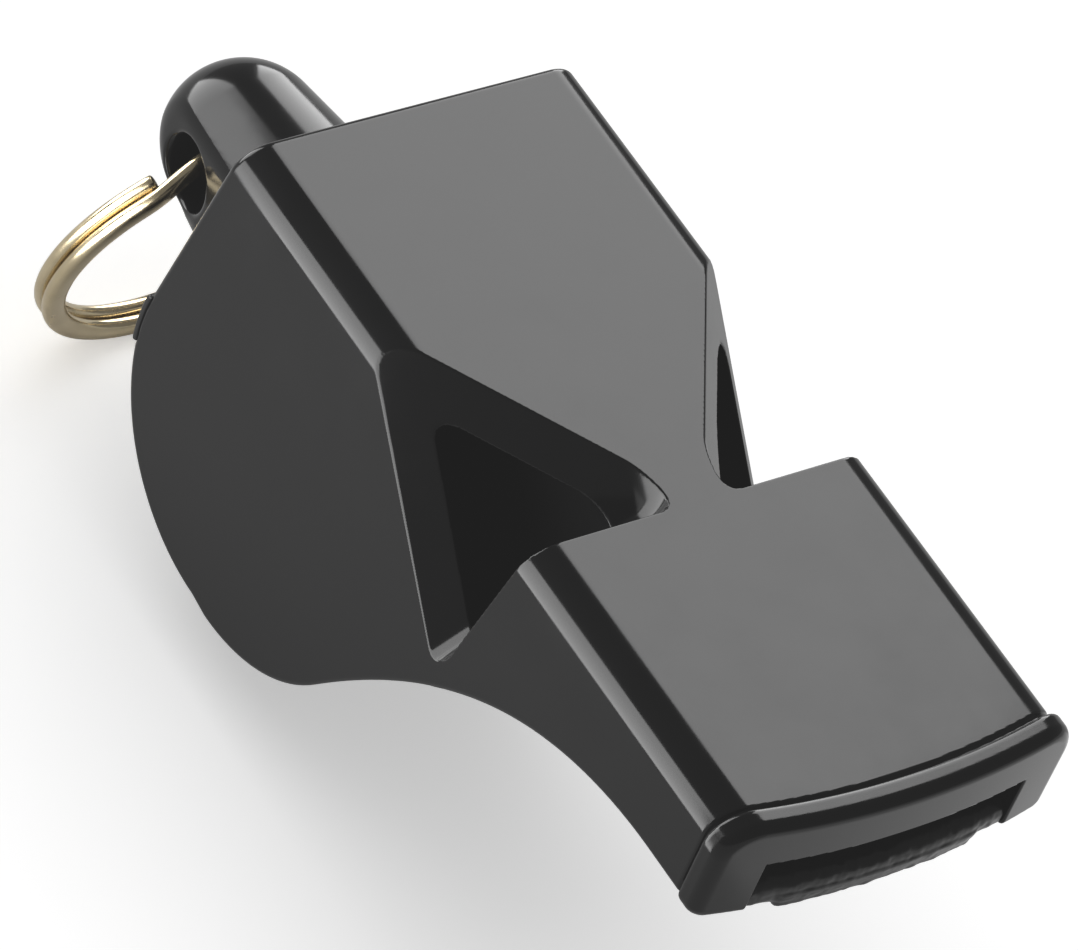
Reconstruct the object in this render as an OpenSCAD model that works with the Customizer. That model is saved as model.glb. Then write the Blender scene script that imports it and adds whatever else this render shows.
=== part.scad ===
// Pealess training whistle: a moulded shell with three chambers and a lanyard lug,
// a bottom cover welded under it, and a split ring that hangs in the lug.
// +X points to the mouthpiece, Y runs across, and +Z is up, out of the flat top face.
// The origin is on the top face, on the middle line, at the centre of its rear pad.

/* [Body] */
// Width across the two side faces
body_w = 20; // [19:0.5:22]
// Length of the top on the middle line, from its back edge to the mouthpiece's front
body_l = 45.2; // [44.6:0.2:47]
// Radius of the round belly
belly_r = 10.15; // [9.9:0.05:10.3]
// Depth of the belly's axis below the top face
belly_drop = 14.45; // [14:0.05:15]
// Depth of the mouthpiece from the top face to its underside
mouth_h = 5.93; // [5.6:0.05:6.3]
// Radius of the rounding along the top's long edges
top_round = 1.8; // [0.8:0.1:2.2]
// Thickness of the top plate over the chambers
top_t = 2.1; // [1.6:0.1:2.4]
// Thickness of the chambers' outer side walls
side_t = 1.6; // [1.2:0.1:2]
// Thickness of the bottom cover
cover_t = 1.05; // [0.9:0.05:1.3]
// Thickness of each wall between two chambers
partition_t = 1.5; // [1.2:0.1:1.8]

/* [Notches] */
// Distance from the top's back edge to a ramp's start on the side face
notch_start = 11.7; // [10:0.1:13]
// Distance from the top's back edge to the mouthpiece's rear wall
notch_end = 26.3; // [26:0.1:27]
// How far a ramp runs forward for each millimetre towards the middle line
ramp_in = 1.478; // [1.4:0.01:1.55]
// How far a ramp runs forward for each millimetre of depth
ramp_down = 1.066; // [1:0.01:1.15]
// Width of the neck that joins the mouthpiece's top to the rear pad
neck_w = 3.5; // [3:0.1:4]

/* [Mouthpiece] */
// Width of the mouth slot
slot_w = 15; // [14:0.5:16]
// Depth of the slot's upper edge below the top face
slot_roof = 2.4; // [2.2:0.1:2.8]
// Depth of the slot's lower lip below the top face
lip_top = 4.2; // [4:0.1:4.6]
// Height of the tooth bead around the mouthpiece's front
bead_h = 0.35; // [0.2:0.05:0.5]
// Width of the tooth bead
bead_w = 1.7; // [1.2:0.1:2]

/* [Lug and ring] */
// Distance from the top's back edge to the axis of the lug's hole
hole_back = 8.8; // [8.4:0.1:9.4]
// Depth of the lug's axis below the top face
lug_drop = 12.7; // [12.4:0.1:13]
// Radius of the lug's round tip
lug_tip_r = 3.85; // [3.7:0.05:4]
// Radius of the hole in the lug
hole_r = 2; // [1.9:0.05:2.2]
// Radius of the split ring on its wire's centre line
ring_r = 8.1; // [7.9:0.1:8.4]
// Diameter of the ring's wire
wire_d = 1.23; // [1.1:0.01:1.25]
// Distance between the ring's two coils
coil_pitch = 0.68; // [0.6:0.01:0.75]
// Angle of the hanging ring away from straight down, towards the back
ring_lean = 12; // [0:1:30]

/* [Hidden] */
$fn = 96;
eps = 0.01;
big = 100;

pad_mid = 7;               // from the top's back edge to the origin
front_r = 48;              // radius of the mouthpiece's bowed front, seen from above
belly_x = 7.7;             // axis of the belly's rear arc
belly_flat = 1.3;          // flat stretch between the belly's two arcs
cover_proud = 0.2;         // the cover's back edge stands this far out of the shell
neck_angle = 36;           // where the neck leaves the belly's front arc, below level
neck_handle = 10;          // strength of the neck curve's two ends
neck_end = 40;             // where the neck curve becomes the level underside
neck_steps = 24;
rear_lean = 0.19;          // lean of the mouthpiece's rear wall
band_end = 24;             // the cover is as wide as the body up to here
entry_x = 40.5;            // the slot parts into its three lanes here
lane_exit = 3.3;           // depth of the side lanes' floor where they leave the mouthpiece
floor_gap = 0.05;          // clearance between the cover's floor and the shell's walls
centre_exit = [28.4, -7];  // lower rear corner of the centre lane's roof
centre_sill = [28.4, -8.1];// rear end of the centre lane's floor
window_start = 24.8;       // edge that the centre lane blows on
chamber_back = [1.3, 3.3, 5.3]; // rear limit of the near, middle and far chambers
lip_back = 0.4;            // the lip's front stands this far behind the frame's
rib_w = 11.6;              // raised rib under the lip
rib_l = 3.4;
rib_h = 0.4;
weld_gap = 0.02;           // clearance left around the cover in the shell
seam_angle = 171;          // where the cover starts on the belly's rear arc
arc_step = 5;
lug_tip_back = 10.25;      // from the top's back edge to the centre of the lug's tip
lug_flare = 10;            // half angle of the lug's cone
sink_r = 3.1;              // mouth radius of the countersinks at the lug's hole
sink_h = 0.8;              // depth of the countersinks
apron_r = 5.7;             // the cover is cut away around the lug by this radius

chamber_w = body_w / 2 - side_t - neck_w / 2 - partition_t + 0.1;
centre_w = neck_w - 0.1;
side_lane_in = centre_w / 2 + partition_t;
side_lane_w = slot_w / 2 - side_lane_in;
lip_from = entry_x + weld_gap;
ramp_length = sqrt(1 + ramp_in * ramp_in + ramp_down * ramp_down);
ramp_turn = atan(ramp_in);
ramp_rise = asin(ramp_down / ramp_length);
ramp_away = (notch_start + ramp_in * body_w / 2) / ramp_length;

// Back wall: the line from the top's back edge that touches the belly's rear arc
function back_lean(r) = asin(r / norm([belly_x, belly_drop])) - atan(belly_x / belly_drop);

// Neck underside: one cubic curve from the belly's front arc to the level mouthpiece
neck_from = [belly_x + belly_flat + belly_r * cos(neck_angle), -belly_drop - belly_r * sin(neck_angle)];
neck_to = [neck_end, -mouth_h];
neck_from_handle = neck_from + neck_handle * [sin(neck_angle), cos(neck_angle)];
neck_to_handle = neck_to - [neck_handle, 0];

function neck_point(t) =
    pow(1 - t, 3) * neck_from + 3 * pow(1 - t, 2) * t * neck_from_handle
    + 3 * (1 - t) * t * t * neck_to_handle + pow(t, 3) * neck_to;

function neck_slope(t) =
    pow(1 - t, 2) * (neck_from_handle - neck_from) + 2 * (1 - t) * t * (neck_to_handle - neck_from_handle)
    + t * t * (neck_to - neck_to_handle);

function neck_inset(t, inset) =
    let (slope = neck_slope(t) / norm(neck_slope(t)))
    neck_point(t) + inset * [-slope[1], slope[0]];

module across(w, y = 0)
    translate([0, y, 0]) rotate([90, 0, 0]) linear_extrude(w, center = true) children();

module both_sides() {
    children();
    mirror([0, 1, 0]) children();
}

module from_pad() translate([-pad_mid, 0, 0]) children();

function arc(centre, r, from, to) =
    let (steps = ceil(abs(to - from) / arc_step))
    [for (i = [0:steps]) let (a = from + (to - from) * i / steps) centre + r * [cos(a), sin(a)]];

// Belly, neck and underside in side view, from an angle on the rear arc to the mouthpiece's front
function under_path(inset, from, rear_r) = concat(
    arc([belly_x, -belly_drop], rear_r - inset, from, 270),
    arc([belly_x + belly_flat, -belly_drop], belly_r - inset, 270, 360 - neck_angle),
    [for (i = [1:neck_steps]) neck_inset(i / neck_steps, inset)],
    [[body_l, inset - mouth_h]]
);

function reversed(list) = [for (i = [len(list) - 1:-1:0]) list[i]];

// Side view of the body, drawn in by inset, with its top at roof and a rear arc of rear_r
module side_shape(inset = 0, roof = 0, rear_r = belly_r - cover_proud) {
    lean = back_lean(rear_r);
    touch = [belly_x, -belly_drop] + (rear_r - inset) * [-cos(lean), sin(lean)];
    rise = -roof - touch[1];
    polygon(concat([touch + rise * [tan(lean), 1]], under_path(inset, 180 - lean, rear_r), [[body_l, -roof]]));
}

// Side view of the bottom cover: a strip that follows the belly, the neck and the underside
module cover_strip(gap = 0) {
    from = seam_angle - atan(gap / (belly_r - cover_t));
    polygon(concat(under_path(-gap, from, belly_r), reversed(under_path(cover_t + gap, from, belly_r))));
}

// Everything behind the mouthpiece's leaning rear wall, in side view
module behind_rear_wall() {
    over = 5;
    polygon([[-big, over], [notch_end + rear_lean * over, over], [notch_end - rear_lean * big, -big], [-big, -big]]);
}

module long_section(grow = 0) {
    half = body_w / 2 + grow;
    r = top_round + grow;
    translate([-big / 2, 0, 0]) rotate([90, 0, 90]) linear_extrude(2 * big) {
        for (side = [-1, 1]) translate([side * (half - r), grow - r]) circle(r);
        translate([r - half, grow - r]) square([2 * (half - r), r]);
        translate([-half, -big]) square([2 * half, big + grow - r]);
    }
}

module bowed_front(back = 0)
    translate([body_l - front_r - back, 0, -big / 2]) cylinder(r = front_r, h = big, $fn = 192);

module bead()
    difference() {
        intersection() {
            long_section(bead_h);
            bowed_front();
            across(2 * body_w) translate([neck_end, -mouth_h]) square([big, mouth_h + bead_h]);
        }
        bowed_front(bead_w);
    }

module lug()
    translate([-lug_tip_back, 0, -lug_drop]) rotate([0, 90, 0]) rotate_extrude() {
        root = lug_tip_back + 2;
        touch = lug_tip_r * [cos(lug_flare), -sin(lug_flare)];
        intersection() {
            circle(lug_tip_r);
            translate([0, -lug_tip_r]) square([lug_tip_r, lug_tip_r]);
        }
        polygon([[0, touch[1]], touch, touch + (root - touch[1]) * [tan(lug_flare), 1], [0, root]]);
    }

module notch()
    intersection() {
        rotate([0, -ramp_rise, ramp_turn]) translate([ramp_away, -big, -big]) cube([big, 2 * big, 2 * big]);
        across(3 * big) behind_rear_wall();
        translate([-big, neck_w / 2, -big]) cube([2 * big, big, 2 * big]);
    }

module chamber(y, w, back)
    across(w, y) intersection() {
        side_shape(cover_t, top_t, belly_r);
        behind_rear_wall();
        translate([back, -big]) square([big, big]);
    }

module chambers() {
    y = centre_w / 2 + partition_t + chamber_w / 2;
    chamber(-y, chamber_w, chamber_back[0]);
    chamber(0, centre_w, chamber_back[1]);
    chamber(y, chamber_w, chamber_back[2]);
}

// Room for the three lanes and for the cover's floor, open at the front and below
module windways() {
    across(slot_w) translate([entry_x, -big]) square([big, big - slot_roof]);
    both_sides() across(side_lane_w, side_lane_in + side_lane_w / 2)
        polygon([
            [entry_x + eps, -slot_roof],
            [notch_end - 1, -top_t],
            [notch_end - 1 - rear_lean * big / 2, -big / 2],
            [entry_x + eps, -big / 2]
        ]);
    across(centre_w)
        polygon([
            [entry_x + eps, -slot_roof],
            centre_exit,
            [notch_end - 2.2, -9.2],
            [notch_end - 2.2, -big / 2],
            [entry_x + eps, -big / 2]
        ]);
}

// Hole through the lug, countersunk on both sides
module lug_cut() {
    translate([-hole_back, 0, -lug_drop]) rotate([90, 0, 0]) cylinder(r = hole_r, h = body_w, center = true);
    flank = lug_tip_r + 0.15;
    both_sides() translate([-hole_back, flank - sink_h, -lug_drop]) rotate([-90, 0, 0])
        cylinder(r1 = hole_r, r2 = sink_r + 0.4, h = sink_h + 0.4);
}

module apron_zone(gap = 0)
    translate([-big / 2, 0, -lug_drop]) rotate([0, 90, 0]) cylinder(r = apron_r + gap, h = big / 2 + belly_x);

// The cover's strip, larger by gap: as wide as the body on the belly, and narrower past it
module cover_zone(gap = 0)
    difference() {
        across(body_w + 2 * gap) cover_strip(gap);
        apron_zone(-gap);
        both_sides() translate([band_end + gap, slot_w / 2 - floor_gap + gap, -big]) cube(big);
    }

// Floor of the side lanes or of the centre lane, from the lane down into the strip
module lane_floor(rear)
    intersection() {
        side_shape(cover_t / 2);
        polygon([rear, [entry_x, -lip_top], [lip_from, -lip_top], [lip_from, -big], [rear[0], -big]]);
    }

module front_lip()
    intersection() {
        across(slot_w - 2 * floor_gap)
            translate([lip_from, cover_t / 2 - mouth_h]) square([big, mouth_h - lip_top - cover_t / 2]);
        bowed_front(lip_back);
    }

module lip_rib()
    intersection() {
        across(rib_w) translate([body_l - rib_l, -mouth_h - rib_h]) square([big, rib_h + cover_t / 2]);
        bowed_front(lip_back);
    }

module body_shell() color("#2c2c2e") from_pad()
    difference() {
        union() {
            intersection() {
                across(body_w) side_shape();
                long_section();
                bowed_front();
            }
            bead();
            lug();
        }
        both_sides() notch();
        chambers();
        windways();
        cover_zone(weld_gap);
        lug_cut();
    }

module bottom_cover() color("#343436") from_pad() {
    difference() {
        union() {
            intersection() {
                cover_zone();
                bowed_front(lip_back);
            }
            both_sides() across(side_lane_w - 2 * floor_gap, side_lane_in + side_lane_w / 2)
                difference() {
                    lane_floor([notch_end - 3, -lane_exit]);
                    behind_rear_wall();
                }
            across(centre_w - 2 * floor_gap) lane_floor(centre_sill);
            front_lip();
            lip_rib();
        }
        across(centre_w - 2 * floor_gap)
            translate([window_start, -big / 2]) square([centre_sill[0] - window_start, big / 2]);
    }
}

module split_ring() color("#b59a5f") from_pad()
    translate([-hole_back, 0, -lug_drop]) rotate([0, ring_lean, 0]) translate([0, 0, -ring_r])
        rotate([0, 90, 0]) rotate_extrude($fn = 128)
            for (side = [-1, 1]) translate([ring_r, side * coil_pitch / 2]) circle(d = wire_d, $fn = 48);

body_shell();
bottom_cover();
split_ring();
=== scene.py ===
import math

import bpy
import numpy as np
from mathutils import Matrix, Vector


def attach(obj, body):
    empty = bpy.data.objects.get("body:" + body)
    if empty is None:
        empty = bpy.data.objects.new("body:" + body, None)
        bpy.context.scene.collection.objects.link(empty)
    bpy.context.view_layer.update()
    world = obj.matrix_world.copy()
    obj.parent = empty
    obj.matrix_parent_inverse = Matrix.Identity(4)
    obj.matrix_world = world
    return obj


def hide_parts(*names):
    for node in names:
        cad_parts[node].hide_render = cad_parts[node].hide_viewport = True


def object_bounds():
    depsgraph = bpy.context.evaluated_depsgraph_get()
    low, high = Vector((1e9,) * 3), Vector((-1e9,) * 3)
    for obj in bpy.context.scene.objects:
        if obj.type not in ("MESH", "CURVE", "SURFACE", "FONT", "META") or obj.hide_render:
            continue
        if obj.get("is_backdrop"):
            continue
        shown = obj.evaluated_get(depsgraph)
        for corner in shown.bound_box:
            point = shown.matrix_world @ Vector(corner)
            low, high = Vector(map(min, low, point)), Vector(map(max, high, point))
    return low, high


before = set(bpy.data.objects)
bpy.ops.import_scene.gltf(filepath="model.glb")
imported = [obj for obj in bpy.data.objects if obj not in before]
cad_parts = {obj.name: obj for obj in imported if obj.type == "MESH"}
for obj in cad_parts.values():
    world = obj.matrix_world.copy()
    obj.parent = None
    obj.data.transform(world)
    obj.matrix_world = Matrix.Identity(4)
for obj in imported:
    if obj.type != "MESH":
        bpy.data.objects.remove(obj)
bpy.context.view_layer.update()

import openvdb
from mathutils import Matrix, Vector

# Lengths are in millimetres, x from the top's back edge, y across, z up from the top face.
MM = 0.001
PAD_MID = 7.0            # from the top's back edge to the frame's origin
VOXEL = 0.1
BAND = 3.0               # half width of the level sets, in voxels

HALF_W = 10.0
BODY_L = 45.2
BELLY = (7.7, -14.45)    # axis of the belly's rear arc
BELLY_R = 10.15
BELLY_FLAT = 1.3         # flat stretch between the belly's two arcs
MOUTH_H = 5.93
NECK_ANGLE = 36          # where the neck leaves the belly's front arc, in degrees below level
NECK_HANDLE, NECK_END = 10.0, 40.0
TOP_ROUND = 1.8
TOP_T = 2.1
COVER_T = 1.05
COVER_PROUD = 0.2        # the cover's back edge stands this far out of the shell
SEAM_Z = -12.85          # top edge of the cover on the belly's rear
SEAM_SHOWN = 3.2         # height of the cover's visible edge on the side faces
EDGE_SHOWN = 0.35        # thickness of that visible edge
WALL_IN = 9.4            # the shell's side walls cover the rest of the cover's edge
WELD_GAP = 0.02          # clearance left around the cover in the shell
SIDE_GAP = 0.03          # clearance beside the cover's lane floors and lip
FRONT_R = 48.0           # radius of the mouthpiece's bowed front, seen from above
FRONT_EDGE = 0.5         # rounding of the front's edges
BEAD_H, BEAD_W = 0.35, 1.4
BEAD_ROUND = 0.62        # rounding of the tooth bead's front edge
GROOVE_R = 0.17          # sink mark that runs along the back of the bead
LUG_FILLET = 0.7
HOLE_ROUND = 0.4
EDGE = 0.36              # rounding of the body's outer edges
CRISP = 0.02             # rounding of the cut edges

NOTCH_START, NOTCH_END = 11.7, 26.3
RAMP_IN, RAMP_DOWN = 1.478, 1.066
REAR_LEAN = 0.19
NECK_HALF = 1.6
VALLEY_R = 1.2           # fillet where a ramp meets the mouthpiece's rear wall
BAND_END = 24.0          # the cover is as wide as the body up to here

SLOT_HALF, SLOT_ROOF, LIP_TOP = 7.5, 2.4, 4.2
ENTRY_X = 40.5           # the slot parts into its three lanes here
LANE_IN, CENTRE_HALF = 3.2, 1.7
LANE_REACH = 1.0         # the side lanes run this far past the mouthpiece's rear wall
LANE_EXIT_Z = -3.3       # side lanes' floor where they leave the mouthpiece
NEAR_OUT, FAR_OUT = 8.4, 9.3
CHAMBER_BACK = (1.3, 3.3, 5.3)      # rear limit of the near, middle and far chambers
CHAMBER_CORNER = (0.9, 0.9, 2.2)
CHAMBER_ROUND = 0.9
WINDOW = (24.8, 28.4)    # opening under the middle chamber
CENTRE_EXIT_Z, CENTRE_SILL_Z = -7.0, -8.1
CENTRE_REAR = (24.1, -9.2)          # lower rear corner of the centre lane's roof

LIP_BACK = 0.2           # the lip's front stands this far behind the frame's
LIP_DROP = 0.3           # the lip falls this much towards the front
RIB_HALF, RIB_L, RIB_H = 5.8, 3.4, 0.42
ROUGH_DEPTH = 0.03
FINE_GRAIN, COARSE_GRAIN = 0.25, 0.6

LUG_Z = -12.7
LUG_TIP_X, LUG_TIP_R, LUG_FLARE = -9.5, 4.25, math.radians(7.8)
LUG_END = 3.0            # the lug's cone ends here, inside the body
FLAT_HALF, FLAT_SLOPE = 3.61, 0.12  # half width across the flats at the tip's centre, and their taper
HOLE = (-9.0, -13.35)
HOLE_R = 1.95
APRON_R = 5.7            # the cover is cut away around the lug by this radius

RING_TOP = (-8.68, -12.45)          # centre of the wire inside the lug's hole
RING_R = 8.1
RING_LEAN = math.radians(12)
WIRE_W, WIRE_T = 1.25, 0.84
WIRE_SQUARE = 0.86       # exponent that squares the wire's oval section slightly
COIL_PITCH = 0.86
RING_ENDS = (math.radians(33), math.radians(682))
STEP = (math.radians(312), math.radians(352))   # stretch where the wire changes coil
CUT_END = ((0.93, 0.05), (0.75, 0.1), (0.4, 0.12))  # scale and push of each loop that rounds a cut end

CAMERA_AT = (193.359, -218.961, 274.295)    # in the frame's own axes
CAMERA_BEARING, CAMERA_HEIGHT, CAMERA_ROLL = -49.999, 44.744, 23.717
CAMERA_LENS = 281


def round_and(a, b, r):
    """Intersection of two distance fields with a rounded edge of radius r."""
    outside = np.hypot(np.maximum(a + r, 0), np.maximum(b + r, 0))
    return np.minimum(np.maximum(a, b), -r) + outside


def round_or(a, b, r):
    return -round_and(-a, -b, r)


def round_cut(a, b, r):
    return round_and(a, -b, r)


def arc(centre, r, start, end, steps=40):
    """Points of an arc between two angles in degrees."""
    turn = np.radians(np.linspace(start, end, steps))
    return np.stack([centre[0] + r * np.cos(turn), centre[1] + r * np.sin(turn)], 1)


def neck_curve():
    """Cubic curve from the belly's front arc to the level underside of the mouthpiece."""
    low = math.radians(NECK_ANGLE)
    start = np.array([BELLY[0] + BELLY_FLAT + BELLY_R * math.cos(low), BELLY[1] - BELLY_R * math.sin(low)])
    end = np.array([NECK_END, -MOUTH_H])
    a = start + NECK_HANDLE * np.array([math.sin(low), math.cos(low)])
    b = end - [NECK_HANDLE, 0]
    t = np.linspace(0, 1, 60)[1:, None]
    return (1 - t) ** 3 * start + 3 * (1 - t) ** 2 * t * a + 3 * (1 - t) * t * t * b + t ** 3 * end


def side_outline(rear_r, above=8.0, ahead=62.0):
    """Side view of the body, open past the top and the front so that other fields close it."""
    x, z = BELLY
    lean = math.asin(rear_r / math.hypot(x, z)) - math.atan(x / -z)
    touch = np.array([x - rear_r * math.cos(lean), z + rear_r * math.sin(lean)])
    top = touch + (above - touch[1]) * np.array([math.tan(lean), 1])
    rear = arc(BELLY, rear_r, 180 - math.degrees(lean), 270)
    front = arc((x + BELLY_FLAT, z), BELLY_R, 270, 360 - NECK_ANGLE)
    ends = [[ahead, -MOUTH_H], [ahead, above]]
    return np.concatenate([[top], rear, front, neck_curve(), ends])


def polygon_distance(x, z, points):
    """Signed distance from a grid of points to a closed outline, negative inside."""
    best = np.full(np.broadcast_shapes(x.shape, z.shape), 1e9)
    inside = np.zeros(best.shape, bool)
    for (ax, az), (bx, bz) in zip(points, np.roll(points, -1, 0)):
        ex, ez = bx - ax, bz - az
        if ex == 0 and ez == 0:
            continue
        t = np.clip(((x - ax) * ex + (z - az) * ez) / (ex * ex + ez * ez), 0, 1)
        best = np.minimum(best, (x - ax - t * ex) ** 2 + (z - az - t * ez) ** 2)
        if az != bz:
            crosses = ((az > z) != (bz > z)) & (x < ex * (z - az) / ez + ax)
            inside ^= crosses
    return (np.sqrt(best) * np.where(inside, -1, 1)).astype(np.float32)


class Grid:
    """The lattice that one moulding's distance field is worked out on."""

    def __init__(self, low, high):
        self.low = np.array(low, np.float32)
        counts = np.ceil((np.array(high) - low) / VOXEL).astype(int) + 1
        axes = [(self.low[i] + VOXEL * np.arange(counts[i])).astype(np.float32) for i in range(3)]
        self.x = axes[0][:, None, None]
        self.y = axes[1][None, :, None]
        self.z = axes[2][None, None, :]
        self.side_y = np.abs(self.y)
        self.shell_side = polygon_distance(self.x, self.z, side_outline(BELLY_R - COVER_PROUD))
        self.cover_side = polygon_distance(self.x, self.z, side_outline(BELLY_R))
        self.section = round_and(self.side_y - HALF_W, self.z, TOP_ROUND)
        self.bow = np.hypot(self.x - (BODY_L - FRONT_R), self.y) - FRONT_R
        self.rear_wall = (self.x - NOTCH_END - REAR_LEAN * self.z) / math.hypot(1, REAR_LEAN)


def between(values, low, high):
    """Distance outside the range from low to high."""
    return np.abs(values - (low + high) / 2) - (high - low) / 2


def slope_through(grid, start, end):
    """Height of the grid above the line from start to end in side view."""
    (ax, az), (bx, bz) = start, end
    return ((grid.z - az) * (bx - ax) - (grid.x - ax) * (bz - az)) / math.hypot(bx - ax, bz - az)


def lug_field(g):
    """Cone with a round tip and two flats, along the body's axis."""
    sine, cosine = math.sin(LUG_FLARE), math.cos(LUG_FLARE)
    away = np.hypot(g.y, g.z - LUG_Z)
    along = g.x - LUG_TIP_X
    cone = away * cosine - along * sine - LUG_TIP_R
    tip = np.hypot(away, along) - LUG_TIP_R
    barrel = np.where(along * cosine + away * sine < 0, tip, cone)
    flank = (g.side_y - FLAT_HALF - FLAT_SLOPE * along) / math.hypot(1, FLAT_SLOPE)
    lug = round_and(barrel, flank, 0.3)
    return np.maximum(lug, g.x - LUG_END)


def notch_field(g):
    """Wedge cut out of each side, between the slanting ramp and the mouthpiece's rear wall."""
    ramp = NOTCH_START + RAMP_IN * HALF_W - g.x - RAMP_IN * g.side_y - RAMP_DOWN * g.z
    ramp = ramp / math.sqrt(1 + RAMP_IN ** 2 + RAMP_DOWN ** 2)
    wedge = round_and(ramp, g.rear_wall, VALLEY_R)
    return round_and(wedge, NECK_HALF - g.side_y, 0.8)


def chamber_profile(g):
    inner = round_and(g.cover_side + COVER_T, g.z + TOP_T, CHAMBER_ROUND)
    return round_and(inner, g.rear_wall, 0.5)


def chamber_field(g, number):
    y_low, y_high = [(-NEAR_OUT, -LANE_IN), (-CENTRE_HALF, CENTRE_HALF), (LANE_IN, FAR_OUT)][number]
    profile = round_and(chamber_profile(g), CHAMBER_BACK[number] - g.x, CHAMBER_ROUND)
    return round_and(profile, between(g.y, y_low, y_high), CHAMBER_CORNER[number])


def edge_seam(g, gap):
    """The cover shows on the side faces near its top edge only."""
    shown = np.where((g.z > SEAM_Z - SEAM_SHOWN) & (g.x < BELLY[0]), EDGE_SHOWN, 0)
    return -(g.cover_side + shown + gap)


def cover_zone(g, gap):
    """Everything outside the cover's inner surface that the cover takes up."""
    above_seam = np.where(g.x < BELLY[0], g.z - SEAM_Z - gap, np.float32(-9))
    skin = np.maximum(-(g.cover_side + COVER_T + gap), above_seam)
    wide = np.maximum(skin, g.x - BAND_END - gap)
    wide = np.maximum(wide, np.minimum(g.side_y - WALL_IN - gap, edge_seam(g, gap)))
    floor = np.maximum(skin, g.side_y - SLOT_HALF)
    apron = np.maximum(np.hypot(g.y, g.z - LUG_Z) - APRON_R + gap, g.x - BELLY[0])
    return np.maximum(np.minimum(wide, floor), -apron)


def windway_fields(g):
    """The slot's entry, the two side lanes and the centre lane."""
    entry = np.maximum(np.maximum(ENTRY_X - g.x, g.z + SLOT_ROOF), g.side_y - SLOT_HALF)
    lane_roof = slope_through(g, (NOTCH_END - LANE_REACH, -TOP_T), (ENTRY_X, -SLOT_ROOF))
    lane_length = np.maximum(-LANE_REACH - g.rear_wall, lane_roof)
    lane = np.maximum(between(g.side_y, LANE_IN, SLOT_HALF), lane_length)
    centre_exit = (WINDOW[1], CENTRE_EXIT_Z)
    centre_roof = slope_through(g, centre_exit, (ENTRY_X, -SLOT_ROOF))
    centre_rear = slope_through(g, CENTRE_REAR, centre_exit)
    centre = np.maximum(np.maximum(CENTRE_REAR[0] - g.x, centre_roof), centre_rear)
    centre = np.maximum(g.side_y - CENTRE_HALF, centre)
    centre = np.maximum(centre, g.x - ENTRY_X - 0.2)
    return [entry, lane, centre]


def bead_field(g):
    """Tooth bead that runs around the mouthpiece's front."""
    bead = round_and(g.section - BEAD_H, g.bow, BEAD_ROUND)
    bead = round_and(bead, -(g.bow + BEAD_W), 0.33)
    return round_and(bead, g.shell_side, 0.6)


def shell_field(g):
    body = round_and(g.shell_side, g.section, EDGE)
    body = round_and(body, g.bow, FRONT_EDGE)
    groove = np.hypot(g.section, g.bow + BEAD_W + 0.12) - GROOVE_R
    body = round_cut(body, groove, 0.06)
    body = np.maximum(round_or(body, bead_field(g), 0.08), g.bow)
    body = round_or(body, lug_field(g), LUG_FILLET)
    body = round_cut(body, notch_field(g), CRISP)
    for number in range(3):
        body = round_cut(body, chamber_field(g, number), 0.1)
    for field in windway_fields(g):
        body = round_cut(body, field, 0.1)
    body = round_cut(body, cover_zone(g, WELD_GAP), 0.1)
    hole = np.hypot(g.x - HOLE[0], g.z - HOLE[1]) - HOLE_R
    return round_cut(body, hole, HOLE_ROUND)


def grain(shape, cell, seed):
    """Smooth random field in the range -1 to 1 with lumps of the given size in voxels."""
    rng = np.random.default_rng(seed)
    counts = [max(2, int(n / cell) + 2) for n in shape]
    lumps = rng.uniform(-1, 1, counts).astype(np.float32)
    for axis, n in enumerate(shape):
        at = np.arange(n) / cell
        low = at.astype(int)
        t = (at - low).astype(np.float32)
        t = t * t * (3 - 2 * t)
        t = t.reshape([-1 if i == axis else 1 for i in range(3)])
        lumps = np.take(lumps, low, axis) * (1 - t) + np.take(lumps, low + 1, axis) * t
    return lumps


def lip_field(g):
    """Lower lip of the mouth slot, with the rib under it, left rough by the weld."""
    limits = np.maximum(ENTRY_X - 0.2 - g.x, g.side_y - SLOT_HALF + SIDE_GAP)
    top = slope_through(g, (ENTRY_X, -LIP_TOP), (BODY_L, -LIP_TOP - LIP_DROP))
    lip = round_and(g.bow + LIP_BACK, top, 0.7)
    lip = round_and(lip, g.cover_side, 0.5)
    lip = np.maximum(lip, limits)
    rib = np.maximum(between(g.x, BODY_L - RIB_L, BODY_L + 5), -g.z - MOUTH_H - RIB_H)
    rib = round_and(round_and(rib, g.side_y - RIB_HALF, 0.4), g.bow + LIP_BACK, 0.3)
    rib = np.maximum(rib, g.z + MOUTH_H - 0.5)
    lip = round_or(lip, rib, 0.3)
    fine = ROUGH_DEPTH * grain(lip.shape, FINE_GRAIN / VOXEL, 5)
    rough = fine + ROUGH_DEPTH * grain(lip.shape, COARSE_GRAIN / VOXEL, 6)
    lip = lip + rough * np.clip((g.x - ENTRY_X - 1.5) / 1.5, 0, 1)
    return np.maximum(lip, g.bow + 0.1)


def cover_strip(g):
    """The cover's strip along the belly, neck and underside, cut away around the lug."""
    above_seam = np.where(g.x < BELLY[0], g.z - SEAM_Z, np.float32(-9))
    skin = round_and(np.maximum(g.cover_side, -(g.cover_side + COVER_T)), above_seam, 0.2)
    wide = round_and(round_and(skin, g.side_y - HALF_W, 0.12), g.x - BAND_END, 0.1)
    wide = round_and(wide, np.minimum(g.side_y - WALL_IN, edge_seam(g, 0)), 0.04)
    floor = round_and(skin, g.side_y - SLOT_HALF + SIDE_GAP, 0.08)
    floor = np.maximum(np.maximum(floor, BAND_END - 1 - g.x), g.bow + 0.4)
    apron = np.maximum(np.hypot(g.y, g.z - LUG_Z) - APRON_R, g.x - BELLY[0])
    return round_cut(np.minimum(wide, floor), apron, 0.12)


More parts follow.
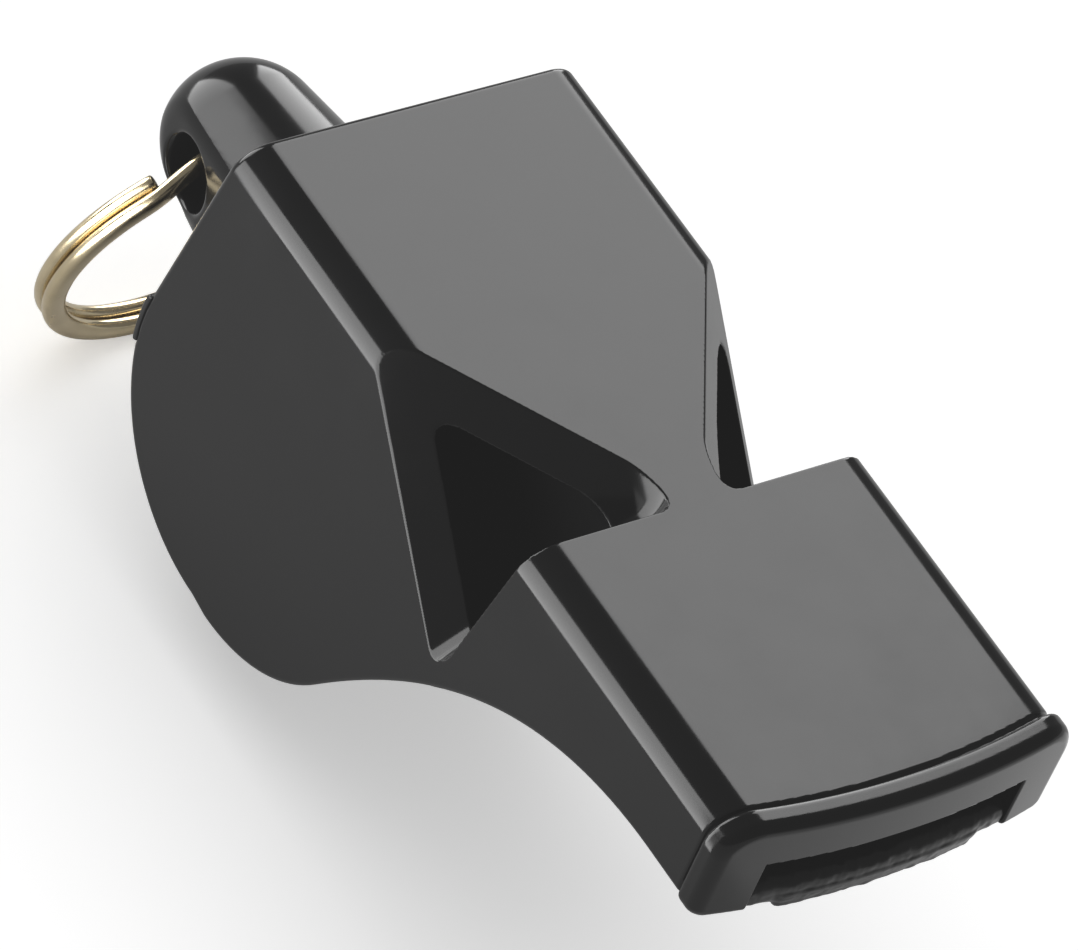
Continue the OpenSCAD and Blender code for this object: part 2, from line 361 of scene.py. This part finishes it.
def lane_floors(g):
    """Floors of the two side lanes and of the centre lane, in that order."""
    lane_floor = slope_through(g, (NOTCH_END, LANE_EXIT_Z), (ENTRY_X, -LIP_TOP))
    side = np.maximum(g.cover_side + 0.4, lane_floor)
    side = np.maximum(side, np.maximum(-g.rear_wall, g.x - ENTRY_X))
    side = np.maximum(side, between(g.side_y, LANE_IN + SIDE_GAP, SLOT_HALF - SIDE_GAP))
    centre_floor = slope_through(g, (WINDOW[1], CENTRE_SILL_Z), (ENTRY_X, -LIP_TOP))
    centre = np.maximum(np.maximum(g.cover_side + 0.4, centre_floor), g.side_y - CENTRE_HALF + SIDE_GAP)
    centre = np.maximum(centre, between(g.x, WINDOW[1], ENTRY_X))
    return side, centre


def cover_field(g):
    side, centre = lane_floors(g)
    cover = np.minimum(np.minimum(cover_strip(g), side), centre)
    cover = round_or(cover, lip_field(g), 0.1)
    window = np.maximum(between(g.x, *WINDOW), g.side_y - CENTRE_HALF + 0.05)
    window = np.maximum(window, -(g.cover_side + 2.2))
    return round_cut(cover, window, 0.15)


def sample(field, at):
    """Trilinear value of the field at fractional lattice positions."""
    low = np.clip(at.astype(int), 0, np.array(field.shape) - 2)
    t = at - low
    total = 0
    for corner in np.ndindex(2, 2, 2):
        weight = np.prod(np.where(np.array(corner) == 1, t, 1 - t), axis=1)
        total = total + weight * field[tuple((low + corner).T)]
    return total


def linked(name, data):
    """New object with the given data, linked to the scene."""
    thing = bpy.data.objects.new(name, data)
    bpy.context.scene.collection.objects.link(thing)
    return thing


def field_normals(field, at):
    """Unit normals from the field's slope, half a voxel to each side."""
    normals = np.stack([
        sample(field, at + 0.5 * np.eye(3)[axis]) - sample(field, at - 0.5 * np.eye(3)[axis])
        for axis in range(3)
    ], 1)
    return normals / np.maximum(np.linalg.norm(normals, axis=1, keepdims=True), 1e-9)


def mesh_of(name, points, faces):
    """Mesh of triangles and quads given as index arrays."""
    mesh = bpy.data.meshes.new(name)
    loops = np.concatenate([f.reshape(-1) for f in faces])
    sizes = np.concatenate([np.full(len(f), f.shape[1]) for f in faces])
    starts = np.concatenate([[0], np.cumsum(sizes)[:-1]])
    mesh.vertices.add(len(points))
    mesh.vertices.foreach_set("co", points.astype(np.float32).reshape(-1))
    mesh.loops.add(len(loops))
    mesh.loops.foreach_set("vertex_index", loops.astype(np.int32))
    mesh.polygons.add(len(sizes))
    mesh.polygons.foreach_set("loop_start", starts.astype(np.int32))
    mesh.update(calc_edges=True)
    return mesh


def moulding(name, grid, field):
    """Mesh of a distance field's surface, with normals from the field itself."""
    field = np.clip(field, -BAND * VOXEL, BAND * VOXEL).astype(np.float32)
    volume = openvdb.FloatGrid(BAND * VOXEL)
    volume.copyFromArray(field)
    volume.gridClass = openvdb.GridClass.LEVEL_SET
    at, triangles, quads = volume.convertToPolygons(0.0, 0.0)
    points = (at * VOXEL + grid.low - [PAD_MID, 0, 0]) * MM
    faces = [f for f in (triangles, quads) if len(f)]
    mesh = mesh_of(name, points, faces)
    if signed_volume(points, faces) < 0:
        mesh.flip_normals()
    mesh.shade_smooth()
    mesh.normals_split_custom_set_from_vertices(field_normals(field, at))
    return linked(name, mesh)


def signed_volume(points, faces):
    """Six times the volume inside the faces, negative if they point inwards."""
    total = 0.0
    for f in faces:
        for k in range(1, f.shape[1] - 1):
            a, b, c = points[f[:, 0]], points[f[:, k]], points[f[:, k + 1]]
            total += float(np.einsum("ij,ij->", a, np.cross(b, c)))
    return total


def wire_loops(steps=360, around=28):
    """One wire wound twice: it steps from the front coil to the rear coil at the lug."""
    axis = np.array([math.cos(RING_LEAN), 0, -math.sin(RING_LEAN)])
    down = np.array([-math.sin(RING_LEAN), 0, -math.cos(RING_LEAN)])
    across = np.array([0.0, 1.0, 0.0])
    angle = np.linspace(*RING_ENDS, steps)
    t = np.clip((angle - STEP[0]) / (STEP[1] - STEP[0]), 0, 1)
    t = t * t * t * (t * (6 * t - 15) + 10)
    layer = COIL_PITCH * (0.5 - t)
    out = -np.cos(angle)[:, None] * down + np.sin(angle)[:, None] * across
    centre = np.array([RING_TOP[0] - PAD_MID, 0, RING_TOP[1]]) + RING_R * down
    path = centre + RING_R * out + layer[:, None] * axis
    phi = np.linspace(0, 2 * math.pi, around, endpoint=False)
    wide = WIRE_W / 2 * np.sign(np.cos(phi)) * np.abs(np.cos(phi)) ** WIRE_SQUARE
    thick = WIRE_T / 2 * np.sign(np.sin(phi)) * np.abs(np.sin(phi)) ** WIRE_SQUARE
    return path[:, None, :] + wide[None, :, None] * out[:, None, :] + thick[None, :, None] * axis


def cut_end(last, before):
    """Shrinking loops that round the wire's cut end off, past its last loop."""
    middle = last.mean(0)
    along = middle - before.mean(0)
    along = along / np.linalg.norm(along)
    return [middle + along * push + (last - middle) * shrink for shrink, push in CUT_END]


def ring_piece():
    wire = wire_loops()
    around = wire.shape[1]
    loops = cut_end(wire[0], wire[1])[::-1] + list(wire) + cut_end(wire[-1], wire[-2])
    verts = np.concatenate(loops) * MM
    faces = []
    for i in range(len(loops) - 1):
        for j in range(around):
            k = (j + 1) % around
            faces.append((i * around + j, i * around + k, (i + 1) * around + k, (i + 1) * around + j))
    faces.append(tuple(range(around))[::-1])
    faces.append(tuple((len(loops) - 1) * around + j for j in range(around)))
    mesh = bpy.data.meshes.new("split_ring_wire")
    mesh.from_pydata(verts.tolist(), [], faces)
    mesh.shade_smooth()
    return linked("split_ring_wire", mesh)


def new_material(name):
    material = bpy.data.materials.new(name)
    material.use_nodes = True
    nodes = material.node_tree.nodes
    return material, nodes, material.node_tree.links, nodes["Principled BSDF"]


def noise(nodes, links, scale, detail=4.0, rough=0.5):
    where = nodes.new("ShaderNodeTexCoord")
    texture = nodes.new("ShaderNodeTexNoise")
    texture.inputs["Scale"].default_value = scale
    texture.inputs["Detail"].default_value = detail
    texture.inputs["Roughness"].default_value = rough
    links.new(where.outputs["Object"], texture.inputs["Vector"])
    return texture.outputs["Fac"]


def ramp(nodes, links, value, low, high, out_low, out_high):
    span = nodes.new("ShaderNodeMapRange")
    for key, number in (("From Min", low), ("From Max", high), ("To Min", out_low), ("To Max", out_high)):
        span.inputs[key].default_value = number
    links.new(value, span.inputs["Value"])
    return span.outputs["Result"]


def bump(nodes, links, value, strength, distance, under=None):
    node = nodes.new("ShaderNodeBump")
    node.inputs["Strength"].default_value = strength
    node.inputs["Distance"].default_value = distance
    links.new(value, node.inputs["Height"])
    if under is not None:
        links.new(under, node.inputs["Normal"])
    return node.outputs["Normal"]


def mottled_colour(nodes, links, surface, first, second, pattern):
    """Base colour that drifts between two colours with the pattern."""
    tint = nodes.new("ShaderNodeMix")
    tint.data_type = "RGBA"
    tint.inputs["A"].default_value = (*first, 1)
    tint.inputs["B"].default_value = (*second, 1)
    links.new(pattern, tint.inputs["Factor"])
    links.new(tint.outputs["Result"], surface.inputs["Base Color"])


def plastic_material(name, shade, rough_low, rough_high, texture_depth):
    """Black plastic with uneven gloss, a fine orange peel and slow waves in its surface."""
    material, nodes, links, surface = new_material(name)
    surface.inputs["IOR"].default_value = 1.3
    mottle = noise(nodes, links, 220, 6.0, 0.6)
    links.new(ramp(nodes, links, mottle, 0.3, 0.7, rough_low, rough_high), surface.inputs["Roughness"])
    dark = (shade, shade, shade * 1.03)
    light = (shade * 1.35, shade * 1.35, shade * 1.38)
    mottled_colour(nodes, links, surface, dark, light, noise(nodes, links, 90, 3.0))
    orange_peel = bump(nodes, links, noise(nodes, links, 1500, 2.0), 0.25, texture_depth)
    waves = bump(nodes, links, noise(nodes, links, 120, 1.0), 0.3, 0.00002, orange_peel)
    links.new(waves, surface.inputs["Normal"])
    return material


def brass_material():
    material, nodes, links, surface = new_material("polished_brass_plate")
    surface.inputs["Metallic"].default_value = 1.0
    tarnish = noise(nodes, links, 500, 5.0)
    mottled_colour(nodes, links, surface, (0.50, 0.41, 0.25), (0.70, 0.60, 0.41), tarnish)
    wear = noise(nodes, links, 900, 6.0)
    links.new(ramp(nodes, links, wear, 0.3, 0.7, 0.14, 0.3), surface.inputs["Roughness"])
    links.new(bump(nodes, links, noise(nodes, links, 2500, 3.0), 0.2, 0.00001), surface.inputs["Normal"])
    return material


def pale_floor():
    """Floor just under the ring, a little brighter to the camera than its light makes it."""
    lowest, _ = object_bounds()
    bpy.ops.mesh.primitive_plane_add(size=3.0, location=(0, 0, lowest.z - 0.0002))
    floor = bpy.context.object
    floor.name = "floor"
    material, nodes, links, surface = new_material("pale_floor")
    surface.inputs["Base Color"].default_value = (0.9, 0.9, 0.9, 1)
    surface.inputs["Roughness"].default_value = 0.95
    surface.inputs["Specular IOR Level"].default_value = 0.0
    path = nodes.new("ShaderNodeLightPath")
    seen = ramp(nodes, links, path.outputs["Is Camera Ray"], 0, 1, 0, 0.45)
    links.new(seen, surface.inputs["Emission Strength"])
    surface.inputs["Emission Color"].default_value = (1, 1, 1, 1)
    floor.data.materials.append(material)
    floor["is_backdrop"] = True
    return floor


def direction_of(bearing, height):
    """Unit vector with a bearing and a height in degrees."""
    turn, rise = math.radians(bearing), math.radians(height)
    return Vector((math.cos(rise) * math.cos(turn), math.cos(rise) * math.sin(turn), math.sin(rise)))


def softbox(name, target, bearing, height, away, wide, tall, radiance, only):
    """Rectangular light that faces the target from a bearing and a height, and lights only some things."""
    light = bpy.data.lights.new(name, "AREA")
    light.shape = "RECTANGLE"
    light.size, light.size_y = wide, tall
    light.energy = radiance * math.pi * wide * tall
    lamp = linked(name, light)
    direction = direction_of(bearing, height)
    lamp.location = Vector(target) * MM + direction * away
    lamp.rotation_mode = "QUATERNION"
    lamp.rotation_quaternion = (-direction).to_track_quat("-Z", "Y")
    lamp.visible_camera = False
    lit = bpy.data.collections.new(name + "_lights")
    for thing in only:
        lit.objects.link(thing)
    lamp.light_linking.receiver_collection = lit


def studio_light(pieces, floor):
    """One light for the top faces, three small ones for the rounded edges, and one for the floor."""
    softbox("top_softbox", target=(12, 0, -2), bearing=134, height=28, away=0.5,
            wide=0.19, tall=0.5, radiance=7.1, only=pieces)
    softbox("low_softbox", target=(-3.5, -11, -10), bearing=270, height=0, away=0.03,
            wide=0.049, tall=0.038, radiance=9.0, only=pieces)
    softbox("rear_softbox", target=(-9, -50, 34), bearing=180, height=0, away=0.1,
            wide=0.102, tall=0.1, radiance=7.5, only=pieces)
    softbox("front_softbox", target=(38, 0, -3), bearing=50, height=-45, away=0.03,
            wide=0.06, tall=0.04, radiance=0.5, only=pieces)
    softbox("floor_softbox", target=(12, 0, -29), bearing=90, height=89, away=0.8,
            wide=1.2, tall=1.2, radiance=1.2, only=[floor])
    world = bpy.data.worlds.new("studio")
    bpy.context.scene.world = world
    world.use_nodes = True
    world.node_tree.nodes["Background"].inputs["Color"].default_value = (1, 1, 1, 1)
    world.node_tree.nodes["Background"].inputs["Strength"].default_value = 0.2


def photo_camera():
    camera = bpy.data.cameras.new("camera")
    camera.sensor_width = 36
    camera.lens = CAMERA_LENS
    camera.clip_start, camera.clip_end = 0.01, 10
    holder = linked("camera", camera)
    back = direction_of(CAMERA_BEARING, CAMERA_HEIGHT)
    level = direction_of(CAMERA_BEARING + 90, 0)
    roll = math.radians(CAMERA_ROLL)
    right = level * math.cos(roll) + back.cross(level) * math.sin(roll)
    place = Matrix((right, back.cross(right), back)).transposed().to_4x4()
    place.translation = Vector(CAMERA_AT) * MM
    holder.matrix_world = place
    bpy.context.scene.camera = holder


def finish_piece(piece, material, body, node):
    piece.data.materials.append(material)
    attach(piece, body)
    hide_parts(node)


photo_camera()

shell_grid = Grid((-15.0, -11.0, -24.6), (46.0, 11.0, 1.2))
shell = moulding("shell_moulding", shell_grid, shell_field(shell_grid))
gloss_black = plastic_material(
    "gloss_black_abs", shade=0.002, rough_low=0.1, rough_high=0.17, texture_depth=0.000003)
finish_piece(shell, gloss_black, "whistle", "body_shell")

cover_grid = Grid((-3.6, -10.8, -25.4), (46.0, 10.8, -2.6))
cover = moulding("cover_moulding", cover_grid, cover_field(cover_grid))
satin_black = plastic_material(
    "satin_black_abs", shade=0.003, rough_low=0.26, rough_high=0.38, texture_depth=0.00001)
finish_piece(cover, satin_black, "whistle", "bottom_cover")

ring = ring_piece()
finish_piece(ring, brass_material(), "ring", "split_ring")

studio_light([shell, cover, ring], pale_floor())
view = bpy.context.scene.view_settings
view.view_transform = "Standard"
view.use_curve_mapping = True
view.curve_mapping.black_level = (-0.014, -0.014, -0.014)
view.curve_mapping.update()
